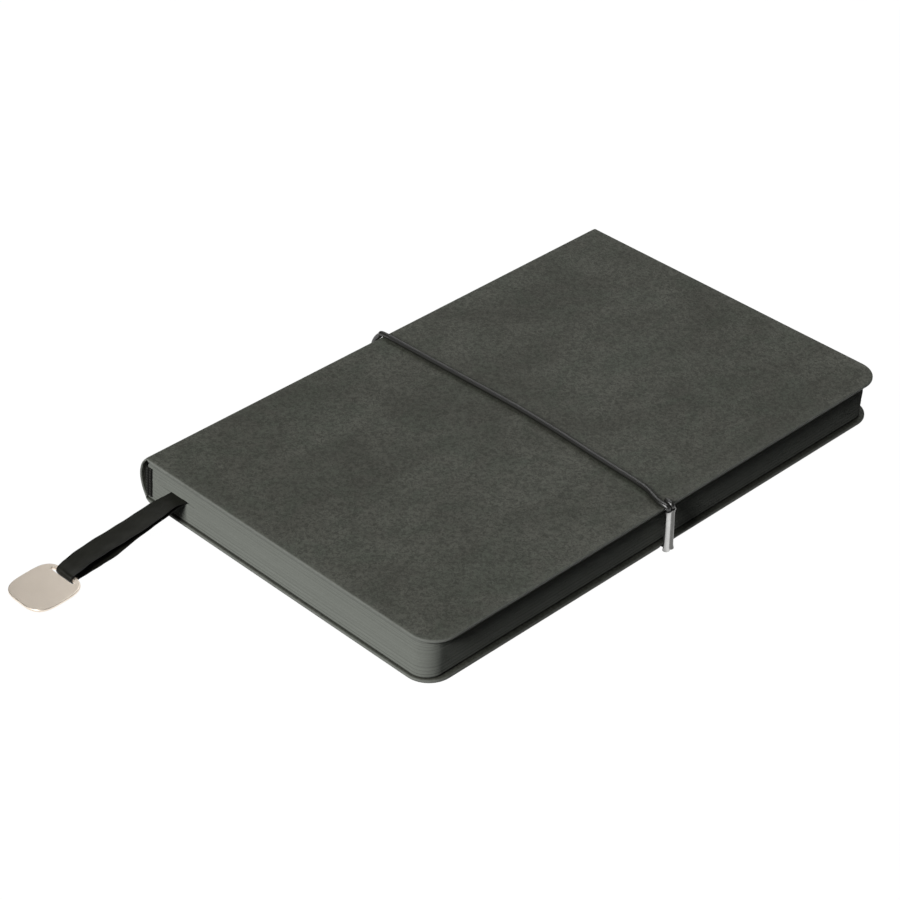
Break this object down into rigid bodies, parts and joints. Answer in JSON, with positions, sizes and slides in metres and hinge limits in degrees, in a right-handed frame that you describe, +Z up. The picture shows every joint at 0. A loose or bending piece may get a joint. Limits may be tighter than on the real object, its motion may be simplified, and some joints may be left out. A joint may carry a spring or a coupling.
{
  "type": "sketchbook",
  "caption": "Pocket hardcover sketchbook, sewn sections in leatherette boards, closed by an elastic loop with a crimp clip, with a ribbon bookmark and metal tag.",
  "frame": {"origin": "on the surface that the back cover lies on, under the middle of the closed book with its elastic and clip, the bookmark left out", "axes": "+X from the spine to the fore edge, +Y from the tail to the head of the book, +Z up through the front cover"},
  "size_m": [0.1424, 0.2735, 0.0188],
  "materials": {
    "leatherette": "fine-grained, matt",
    "board": "raw greyboard",
    "endpaper": "smooth paper",
    "page_paper": "uncoated drawing paper",
    "spine_card": "black card",
    "lining": "gauze and paper",
    "headband_cloth": "stitched cotton",
    "elastic": "braided round elastic",
    "clip_metal": "bright nickel plate",
    "ribbon": "satin",
    "tag_metal": "satin champagne plate"
  },
  "bodies": {
    "back_half": {"back_cover_board": "board", "back_cover_leatherette": "leatherette", "back_pastedown": "endpaper", "back_flyleaf": "endpaper", "section_01": "page_paper", "section_02": "page_paper", "section_03": "page_paper", "section_04": "page_paper", "section_05": "page_paper", "section_06": "page_paper", "spine_lining": "lining", "tailband": "headband_cloth", "headband": "headband_cloth", "bookmark_ribbon": "ribbon"},
    "spine": {"spine_leatherette": "leatherette", "spine_card": "spine_card"},
    "front_cover": {"front_cover_board": "board", "front_cover_leatherette": "leatherette", "front_pastedown": "endpaper"},
    "flyleaf": {"front_flyleaf": "endpaper"},
    "upper_section_07": {"section_07": "page_paper"},
    "upper_section_08": {"section_08": "page_paper"},
    "upper_section_09": {"section_09": "page_paper"},
    "upper_section_10": {"section_10": "page_paper"},
    "closure": {"elastic_cord": "elastic", "crimp_clip": "clip_metal"},
    "tag": {"bookmark_tag": "tag_metal"}
  },
  "joints": [
    {"name": "spine_hinge", "type": "hinge", "parent": "back_half", "child": "spine", "pos_m": [-0.06533, 0, 0], "axis": [0, -1, 0], "range_deg": [0, 90]},
    {"name": "front_cover_hinge", "type": "hinge", "parent": "spine", "child": "front_cover", "pos_m": [-0.06533, 0, 0.0165], "axis": [0, -1, 0], "range_deg": [0, 90]},
    {"name": "flyleaf_hinge", "type": "hinge", "parent": "back_half", "child": "flyleaf", "pos_m": [-0.06603, 0, 0.0083], "axis": [0, -1, 0], "range_deg": [0, 179.3], "deforming": ["spine_lining", "tailband", "headband"]},
    {"name": "section_10_hinge", "type": "hinge", "parent": "back_half", "child": "upper_section_10", "pos_m": [-0.06603, 0, 0.0083], "axis": [0, -1, 0], "range_deg": [0, 178.4]},
    {"name": "section_09_hinge", "type": "hinge", "parent": "back_half", "child": "upper_section_09", "pos_m": [-0.06603, 0, 0.0083], "axis": [0, -1, 0], "range_deg": [0, 177.5]},
    {"name": "section_08_hinge", "type": "hinge", "parent": "back_half", "child": "upper_section_08", "pos_m": [-0.06603, 0, 0.0083], "axis": [0, -1, 0], "range_deg": [0, 176.6]},
    {"name": "section_07_hinge", "type": "hinge", "parent": "back_half", "child": "upper_section_07", "pos_m": [-0.06603, 0, 0.0083], "axis": [0, -1, 0], "range_deg": [0, 175.7]},
    {"name": "elastic_slide", "type": "slide", "parent": "back_half", "child": "closure", "axis": [0, 1, 0], "range_m": [0, 0.1255], "deforming": ["elastic_cord"]},
    {"name": "tag_hinge", "type": "hinge", "parent": "back_half", "child": "tag", "pos_m": [-0.05063, -0.1491, 0.0016], "axis": [-1, 0, 0], "range_deg": [0, 105]}
  ],
  "couplings": [
    {"joint": "spine_hinge", "follows": "front_cover_hinge", "ratio": 1},
    {"joint": "flyleaf_hinge", "follows": "front_cover_hinge", "ratio": 1.99},
    {"joint": "section_10_hinge", "follows": "front_cover_hinge", "ratio": 1.98},
    {"joint": "section_09_hinge", "follows": "front_cover_hinge", "ratio": 1.97},
    {"joint": "section_08_hinge", "follows": "front_cover_hinge", "ratio": 1.96},
    {"joint": "section_07_hinge", "follows": "front_cover_hinge", "ratio": 1.95},
    {"joint": "elastic_slide", "follows": "front_cover_hinge", "m_per_rad": 0.079577}
  ]
}
